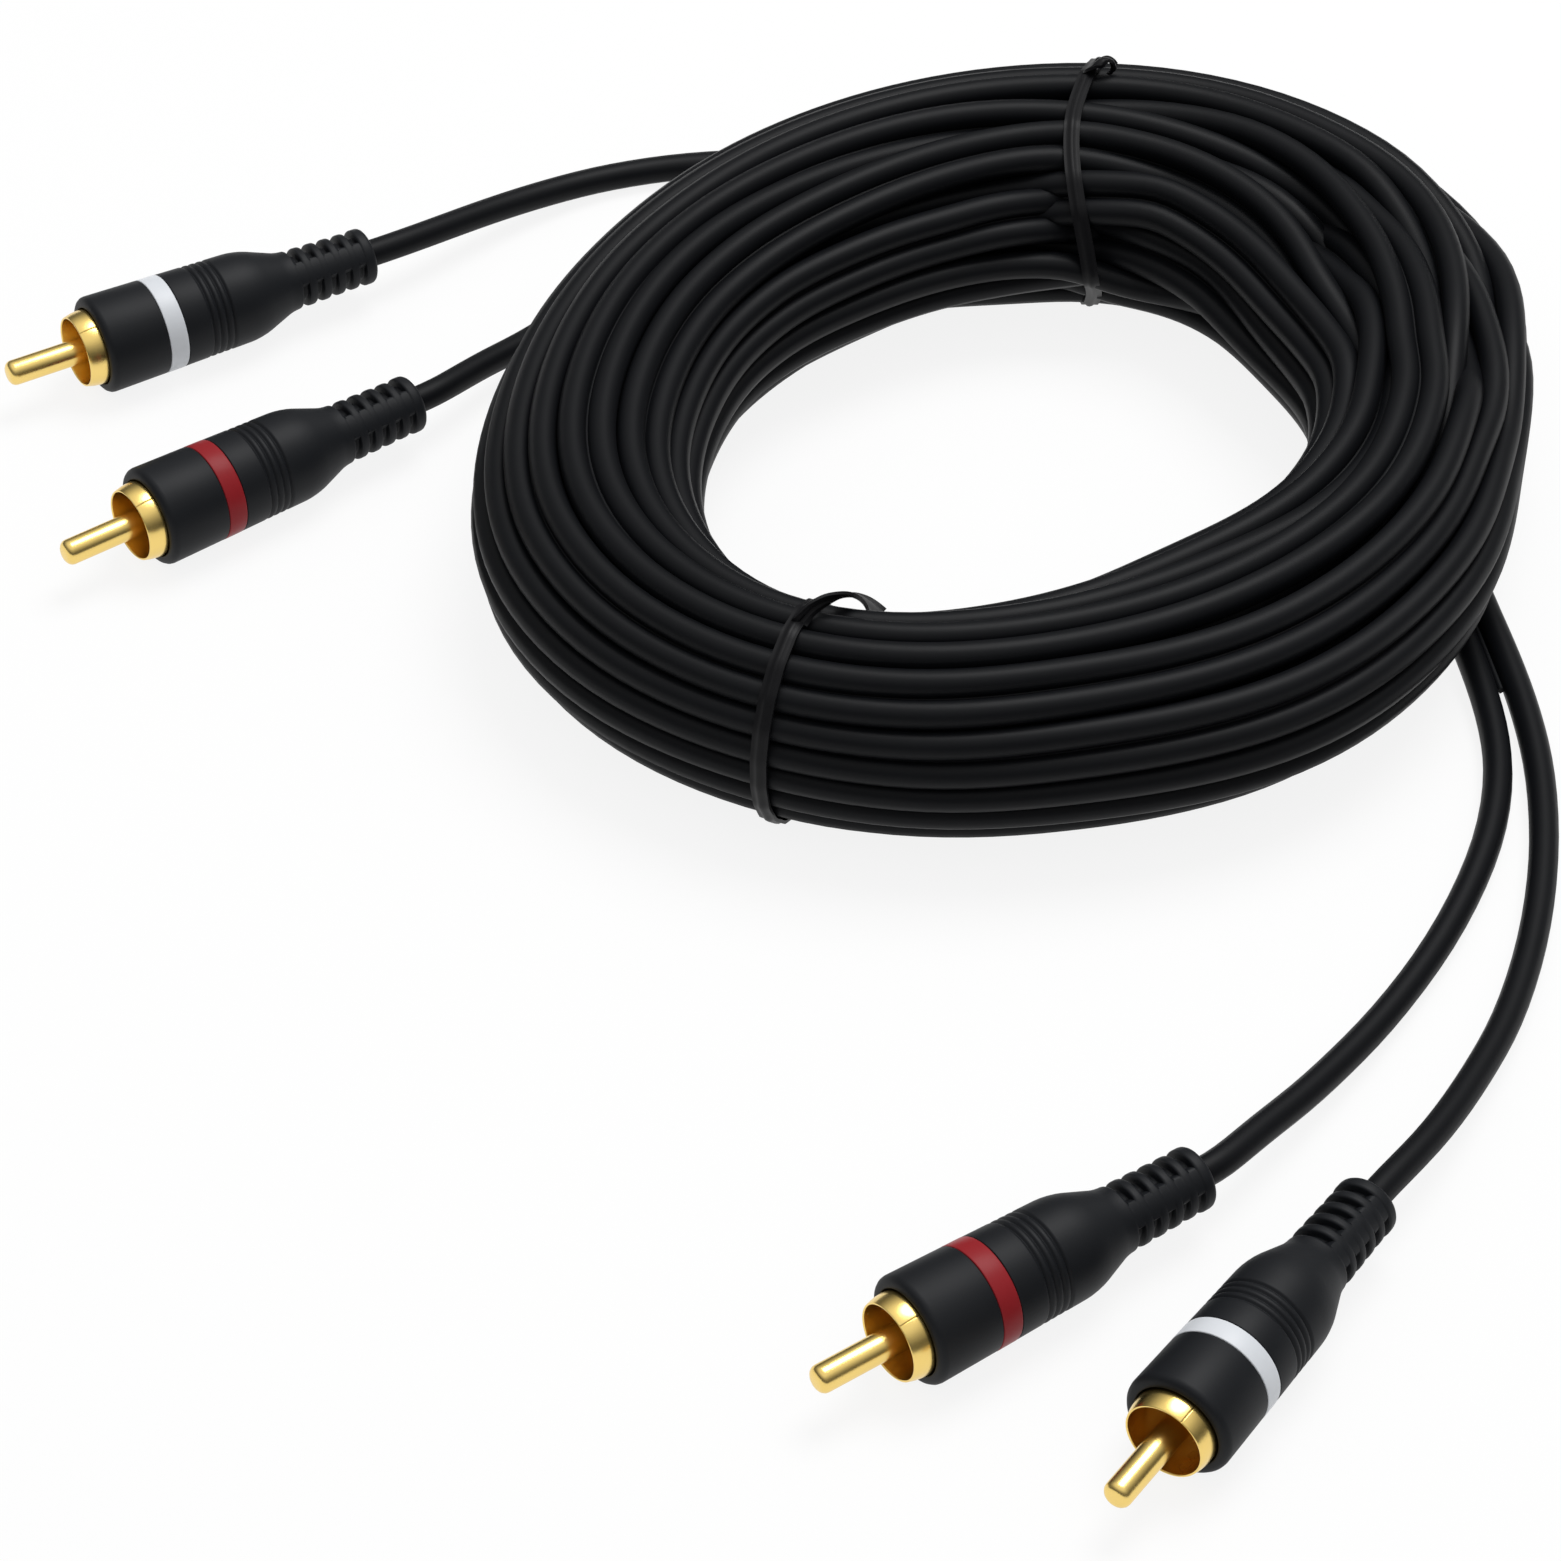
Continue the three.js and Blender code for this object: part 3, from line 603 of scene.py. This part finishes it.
def add_cords(winding):
    """The two channels' cords, from plug to plug, and the strip that joins them along the turns, as on the
    real lead. Past the turns the strip runs on between the front cords as painted shade, a dark sheet in
    their shadowed gap.
    """
    wound = {"white": winding.line(1), "red": winding.line(0)}
    pieces = {}
    for colour, turns in wound.items():
        front = reversed(lead_line(f"front_{colour}"))
        points = [*lead_line(f"left_{colour}"), *turns, *front]
        nodes = [f"left_{colour}_lead", f"front_{colour}_lead"]
        if colour == "white":
            nodes.append("cable_coil")
        data = cord_curve(f"{colour}_channel_cord", points, CORD_RADIUS, CORD_ROUNDNESS)
        pieces[colour] = link(f"{colour}_channel_cord", data, "black_pvc", "black_pvc", *nodes)
        pieces[colour]["length_m"] = line_length(points)
    # Past the turns the strip goes on along the front routes' last points as painted shade: a dark sheet in
    # the gap between the split cords.
    joined = []
    for colour, turns in wound.items():
        front = [Vector(point) for point in ROUTES[f"front_{colour}"][-WEB_SHADE_FRONT_POINTS:]]
        joined.append([*turns, *reversed(front)])
    between_cords = [(a + b) / 2 for a, b in zip(*joined)]
    web = cord_curve("twin_web", between_cords, WEB_THICKNESS / 2, 0)
    pieces["web"] = link("twin_web", web, "black_pvc", "black_pvc")
    return pieces


def ribbon(path, outwards, width, closed):
    """A flat ribbon with a wire's ridge along its middle, laid along a path with its back inwards."""
    bm = bmesh.new()
    count = len(path)
    steps = count if closed else count - 1
    bmesh.ops.create_grid(bm, x_segments=steps, y_segments=RIBBON_STRIPS, size=1)
    for vert in bm.verts:
        i = round((vert.co.x + 1) / 2 * steps)
        side = vert.co.y
        behind = (i - 1) % count if closed else max(i - 1, 0)
        ahead = (i + 1) % count if closed else min(i + 1, count - 1)
        out = outwards[i % count]
        across = (path[ahead] - path[behind]).normalized().cross(out).normalized()
        ridge = TIE_RIDGE * max(0, 1 - (side / TIE_RIDGE_SHARE) ** 2)
        vert.co = (path[i % count] + across * side * width / 2 + out * ridge) * MM
    bmesh.ops.remove_doubles(bm, verts=bm.verts[:], dist=0.001 * MM)
    bmesh.ops.recalc_face_normals(bm, faces=bm.faces[:])
    bmesh.ops.solidify(bm, geom=bm.faces[:], thickness=TIE_FILM * MM)
    return bm


def tie_band(winding, place, bow):
    """The way of a tie's band, pulled tight round the cords that pass its place, with a slight bow."""
    section = winding.section_at(place)
    clocks = [2 * pi * i / BAND_STEPS for i in range(BAND_STEPS)]
    corners = []
    for clock in clocks:
        way = np.array([sin(clock), cos(clock)])
        corners.append(section[np.argmax(section @ way)] + way * (CORD_RADIUS + TIE_FILM))
    corners = np.array(corners)
    ends = np.roll(corners, -1, axis=0)
    travelled = np.concatenate([[0], np.cumsum(np.linalg.norm(ends - corners, axis=1))])
    even = np.arange(BAND_POINTS) / BAND_POINTS * travelled[-1]
    loop = np.vstack([corners, corners[:1]])
    out, up = (np.interp(even, travelled, loop[:, axis]) for axis in (0, 1))
    turned_clocks = np.interp(even, travelled, [*clocks, 2 * pi])
    (x, y), (outx, outy) = bundle_place(place)
    path, outwards = [], []
    for i, (across, height, clock) in enumerate(zip(out, up, turned_clocks)):
        z = max(TURNS_HEIGHT / 2 + height, TIE_FILM)
        along = bow * sin(4 * pi * i / BAND_POINTS)
        path.append(Vector((x + outx * across - outy * along, y + outy * across + outx * along, z)))
        outwards.append(Vector((outx * sin(clock), outy * sin(clock), cos(clock))))
    return path, outwards


def tie_tail(place, points):
    """The twisted ends of a tie: the ribbon turns about its own way as it goes."""
    (x, y), (outx, outy) = bundle_place(place)
    knots = np.array([
        (x + across * outx - along * outy, y + across * outy + along * outx, height)
        for across, along, height in (points[0], *points, points[-1])
    ])
    last = len(points) - 1.001
    path = [Vector(point) for point in between(knots, np.linspace(0, last, TAIL_POINTS))]
    outwards = []
    for i in range(TAIL_POINTS):
        along = (path[min(i + 1, TAIL_POINTS - 1)] - path[max(i - 1, 0)]).normalized()
        side = along.cross(Vector((1, 0, 0))).normalized()
        outwards.append(Matrix.Rotation(2 * pi * TAIL_TWISTS * i / TAIL_POINTS, 3, along) @ side)
    return path, outwards


def add_tie(name, winding):
    """A tie's band and its twisted ends, as one piece."""
    degrees, tail = TIES[name]
    place = radians(degrees)
    bm = bmesh.new()
    for way, closed, width in (
        (tie_band(winding, place, TIE_BOWS[name]), True, TIE_WIDTH),
        (tie_tail(place, tail), False, TAIL_WIDTH),
    ):
        strip = ribbon(*way, width, closed)
        data = bpy.data.meshes.new("strip")
        strip.to_mesh(data)
        strip.free()
        bm.from_mesh(data)
        bpy.data.meshes.remove(data)
    link(f"{name}_ribbon", finished_mesh(bm, f"{name}_ribbon"), "tie_plastic", "tie_plastic", name)


def plug_place(name):
    """Carries a plug from its own axis, +X from the tip of its pin, to where it lies."""
    (x, y), heading, _ = PLUGS[name]
    turn = Matrix.Rotation(radians(heading), 4, "Z")
    tip = Vector((x, y, AXIS_HEIGHT)) - turn.to_3x3() @ Vector((BOOT_END, 0, 0))
    return Matrix.Translation(tip * MM) @ turn


def turned(profile, closed):
    """Turns a profile of station, radius and rounding about the plug's axis."""
    bm = bmesh.new()
    corners = [bm.verts.new((station * MM, radius * MM, 0)) for station, radius, _ in profile]
    for a, b in zip(corners, corners[1:]):
        bm.edges.new((a, b))
    if closed:
        bm.edges.new((corners[-1], corners[0]))
    for rounding in sorted({point[2] for point in profile if point[2]}):
        chosen = [corner for corner, point in zip(corners, profile) if point[2] == rounding]
        bmesh.ops.bevel(
            bm, geom=chosen, offset=rounding * MM, offset_type="OFFSET", segments=4, profile=0.5,
            affect="VERTICES", clamp_overlap=True, material=-1,
        )
    bmesh.ops.spin(
        bm, geom=bm.verts[:] + bm.edges[:], cent=(0, 0, 0), axis=(1, 0, 0), angle=2 * pi,
        steps=PLUG_STEPS, use_merge=True, use_normal_flip=False,
    )
    bmesh.ops.remove_doubles(bm, verts=bm.verts[:], dist=0.002 * MM)
    bmesh.ops.recalc_face_normals(bm, faces=bm.faces[:])
    return bm


def finished_mesh(bm, name):
    """A mesh that is smooth but for its sharp edges."""
    data = bpy.data.meshes.new(name)
    bm.to_mesh(data)
    bm.free()
    data.shade_smooth()
    data.set_sharp_from_angle(angle=SHARP_ANGLE)
    return data


def hood_radius(station):
    share = (station - HOOD_FRONT) / (SHOULDER_FRONT - HOOD_FRONT)
    return (HOOD_FRONT_DIAMETER + share * (HOOD_BACK_DIAMETER - HOOD_FRONT_DIAMETER)) / 2


def boot_radius(station):
    share = (station - BOOT_FRONT) / (BOOT_END - BOOT_FRONT)
    return (BOOT_FRONT_DIAMETER + share * (BOOT_END_DIAMETER - BOOT_FRONT_DIAMETER)) / 2


def ring_floor():
    return hood_radius(RING_BACK) - RING_THICKNESS


def grip_profile():
    """The V grooves of the grip behind the ring."""
    profile = []
    for i in range(GRIP_GROOVES):
        middle = RING_BACK + GRIP_SETBACK + (i + 0.5) * GRIP_PITCH
        half = GRIP_WIDTH / 2
        bottom = hood_radius(middle) - GRIP_DEPTH
        profile += [
            (middle - half, hood_radius(middle), GRIP_ROUND),
            (middle, bottom, GRIP_ROUND / 2),
            (middle + half, hood_radius(middle), GRIP_ROUND),
        ]
    return profile


def boot_profile():
    """The slots round the boot, the last of them just before its slightly swollen end ring."""
    pitch = (BOOT_END - BOOT_FRONT - BOOT_END_RING) / BOOT_SLOTS
    profile = []
    for i in range(BOOT_SLOTS):
        start = BOOT_FRONT + (i + 1) * pitch - BOOT_SLOT_WIDTH
        end = start + BOOT_SLOT_WIDTH
        floor = boot_radius(start) - BOOT_SLOT_DEPTH
        profile += [
            (start, boot_radius(start), 0.32), (start, floor, 0.2),
            (end, floor, 0.2), (end, boot_radius(end) + BOOT_END_SWELL * (i == BOOT_SLOTS - 1), 0.32),
        ]
    return profile


def hood_body():
    """The moulded hood: collar, band for the ring, grip grooves, shoulder and slotted boot."""
    bm = turned([
        (HOOD_FRONT, SHELL_DIAMETER / 2 + SHELL_PLAY, HOOD_EDGE),
        (HOOD_FRONT, hood_radius(HOOD_FRONT), 0.9),
        (RING_FRONT, hood_radius(RING_FRONT), HOOD_EDGE),
        (RING_FRONT, ring_floor(), 0),
        (RING_BACK, ring_floor(), 0),
        (RING_BACK, hood_radius(RING_BACK), HOOD_EDGE),
        *grip_profile(),
        (SHOULDER_FRONT, hood_radius(SHOULDER_FRONT), 1.5),
        (BOOT_FRONT, boot_radius(BOOT_FRONT), 0.8),
        *boot_profile(),
        (BOOT_END, boot_radius(BOOT_END) + BOOT_END_SWELL, 0.6),
        (BOOT_END, CORD_RADIUS + CORD_HOLE_PLAY, 0.2),
        (MOULD_END + MOULD_PLAY, CORD_RADIUS + CORD_HOLE_PLAY, 0),
        (MOULD_END + MOULD_PLAY, MOULD_POCKET_RADIUS, 0),
        (SHELL_CUP_END + SHELL_CUP_PLAY, MOULD_POCKET_RADIUS, 0),
        (SHELL_CUP_END + SHELL_CUP_PLAY, SHELL_DIAMETER / 2 + SHELL_PLAY, 0),
    ], True)
    raise_webs(bm)
    return bm


def raise_webs(bm):
    """Two webs along the boot close its slots: their floors rise to the rings there."""
    first = BOOT_FRONT + BOOT_WEB_START
    last = BOOT_END - BOOT_END_RING / 2
    for vert in bm.verts:
        station = vert.co.x / MM
        radius = hypot(vert.co.y, vert.co.z) / MM
        if not first < station < last or radius < CORD_RADIUS + BOOT_BORE_WALL:
            continue
        turn = Vector((vert.co.y, vert.co.z)).angle_signed(Vector((cos(WEB_CLOCK), sin(WEB_CLOCK))))
        away = abs(sin(turn)) * radius
        share = min(max((BOOT_WEB_WIDTH / 2 + BOOT_WEB_EDGE - away) / BOOT_WEB_EDGE, 0), 1)
        top = boot_radius(station) - BOOT_WEB_SINK
        grown = max(radius, radius + share * (top - radius))
        vert.co.y *= grown / radius
        vert.co.z *= grown / radius


def shell_body():
    """The barrelled ground shell with its rolled lip, a seam along it and its narrow tail."""
    outer = SHELL_DIAMETER / 2
    bore = outer - SHELL_WALL
    bm = turned([
        (SHELL_LIP, bore + 0.1, 0.14),
        (SHELL_LIP, outer - LIP_TAPER, 0.18),
        (SHELL_LIP + LIP_ROLL, outer, 1.0),
        (HOOD_FRONT + 0.3, outer - 0.06, 0.5),
        (SHELL_CUP_END, outer - 0.05, 0.1),
        (SHELL_CUP_END, SHELL_TAIL_RADIUS, 0),
        (SHELL_TAIL_END, SHELL_TAIL_RADIUS, 0),
        (SHELL_TAIL_END, SHELL_TAIL_BORE, 0),
        (SHELL_FLOOR, SHELL_TAIL_BORE, 0),
        (SHELL_FLOOR, bore, 0),
    ], True)
    for side in (-1, 1, 0):
        bmesh.ops.bisect_plane(
            bm, geom=bm.verts[:] + bm.edges[:] + bm.faces[:], dist=1e-7,
            plane_co=SEAM_ACROSS * (SEAM_WIDTH / 2 * side * MM), plane_no=SEAM_ACROSS,
        )
    for vert in bm.verts:
        on_seam = abs(vert.co @ SEAM_ACROSS) < 1e-6
        if on_seam and vert.co @ SEAM_OUT > (bore + SEAM_SKIN) * MM:
            vert.co -= SEAM_OUT * SEAM_DEPTH * MM
    return bm


def pin_body():
    """The centre pin with its rounded tip and, behind the insulator, its solder cup."""
    radius = PIN_DIAMETER / 2
    return turned([
        (0, 0, 0),
        (0, radius, PIN_TIP_ROUND),
        (PIN_SHANK_END, radius, 0),
        (PIN_SHANK_END, SOLDER_CUP_RADIUS, 0),
        (SOLDER_CUP_END, SOLDER_CUP_RADIUS, 0),
        (SOLDER_CUP_END, SOLDER_CUP_BORE, 0),
        (SOLDER_CUP_FLOOR, SOLDER_CUP_BORE, 0),
        (SOLDER_CUP_FLOOR, 0, 0),
    ], False)


def insulator_body():
    """The insulator at the bottom of the socket, with its tail round the solder cup."""
    hole = PIN_DIAMETER / 2 + PIN_PLAY
    return turned([
        (SOCKET_FLOOR, hole, 0.2),
        (SOCKET_FLOOR, INSULATOR_RADIUS, 0.15),
        (INSULATOR_FLANGE_END, INSULATOR_RADIUS, 0),
        (INSULATOR_FLANGE_END, INSULATOR_TAIL_RADIUS, 0),
        (INSULATOR_END, INSULATOR_TAIL_RADIUS, 0),
        (INSULATOR_END, INSULATOR_TAIL_BORE, 0),
        (INSULATOR_STEP, INSULATOR_TAIL_BORE, 0),
        (INSULATOR_STEP, hole, 0),
    ], True)


def ring_body():
    """The colour ring, let into the hood's band."""
    front, back = RING_FRONT + RING_PLAY, RING_BACK - RING_PLAY
    return turned([
        (front, ring_floor() + RING_PLAY, 0), (front, hood_radius(front) + RING_PROUD, RING_EDGE),
        (back, hood_radius(back) + RING_PROUD, RING_EDGE), (back, ring_floor() + RING_PLAY, 0),
    ], True)


def add_plug(name):
    """A plug's visible pieces, each in the place of its CAD node."""
    _, _, colour = PLUGS[name]
    pieces = {}
    for part, shape, finish_name, slot_name in (
        ("hood", hood_body, "hood_pvc", "black_pvc"),
        ("ground_shell", shell_body, "gold_plate", "gold_plate"),
        ("centre_pin", pin_body, "gold_plate", "gold_plate"),
        ("insulator", insulator_body, "insulator_plastic", "insulator_plastic"),
        ("colour_ring", ring_body, f"{colour}_ring", f"{colour}_ring"),
    ):
        bm = shape()
        bmesh.ops.transform(bm, matrix=plug_place(name), verts=bm.verts[:])
        data = finished_mesh(bm, f"{name}_{part}_detailed")
        pieces[part] = link(data.name, data, finish_name, slot_name, f"{name}_{part}")
    return pieces


add_camera()
WINDING = Winding()
WINDING.settle()
CORDS = add_cords(WINDING)
PLUG_PIECES = {name: add_plug(name) for name in PLUGS}
for name in TIES:
    add_tie(name, WINDING)

for node, part in frame["nodes"].items():
    slot_name = next(s["material_slot"] for s in frame["record"]["subparts"] if s["node"] == node)
    part.data.materials.clear()
    part.data.materials.append(FINISHES[slot_name])


def add_floor():
    """A pale floor that reads white, to the camera and in the gold, and keeps a faint shadow."""
    bm = bmesh.new()
    bmesh.ops.create_grid(bm, x_segments=1, y_segments=1, size=FLOOR_REACH)
    data = bpy.data.meshes.new("floor")
    bm.to_mesh(data)
    bm.free()
    floor = bpy.data.objects.new("floor", data)
    bpy.context.scene.collection.objects.link(floor)
    finish = Finish("pale floor")
    finish.set(Base_Color=(0.85, 0.85, 0.85, 1), Roughness=0.9)
    camera, glossy, transmission = (
        finish.add("ShaderNodeLightPath", output=f"Is {kind} Ray")
        for kind in ("Camera", "Glossy", "Transmission")
    )
    seen = camera + glossy + transmission
    paper = finish.add("ShaderNodeEmission", {}, {"Color": (1, 1, 1, 1), "Strength": 1.0})
    shader = Wire(finish, finish.shader.outputs[0])
    both = finish.add("ShaderNodeMixShader", {}, {0: FLOOR_PAPER * seen, 1: shader, 2: paper})
    finish.feed(finish.tree.nodes["Material Output"], {"Surface": both})
    data.materials.append(finish.material)


def add_lamp(name, place, size, power):
    data = bpy.data.lights.new(name, "AREA")
    data.shape = "DISK"
    data.size = size
    data.energy = power
    lamp = bpy.data.objects.new(name, data)
    bpy.context.scene.collection.objects.link(lamp)
    lamp.location = place
    lamp.rotation_euler = (-Vector(place)).to_track_quat("-Z", "Y").to_euler()


def light_studio():
    """A soft room: bright overhead, dim towards the horizon, with one large lamp above."""
    world = bpy.data.worlds.new("studio")
    bpy.context.scene.world = world
    world.use_nodes = True
    sky = Nodes(world.node_tree)
    direction = sky.add("ShaderNodeTexCoord", output="Generated")
    height = sky.add("ShaderNodeSeparateXYZ", {}, {0: direction}, "Z")
    level = sky.add("ShaderNodeValToRGB", {"stops": SKY_STOPS}, {0: height})
    sky.feed(world.node_tree.nodes["Background"], {"Color": level, "Strength": 1.0})
    add_lamp("overhead", LAMP_PLACE, LAMP_SIZE, LAMP_POWER)
    bpy.context.scene.view_settings.view_transform = "Standard"


add_floor()
light_studio()
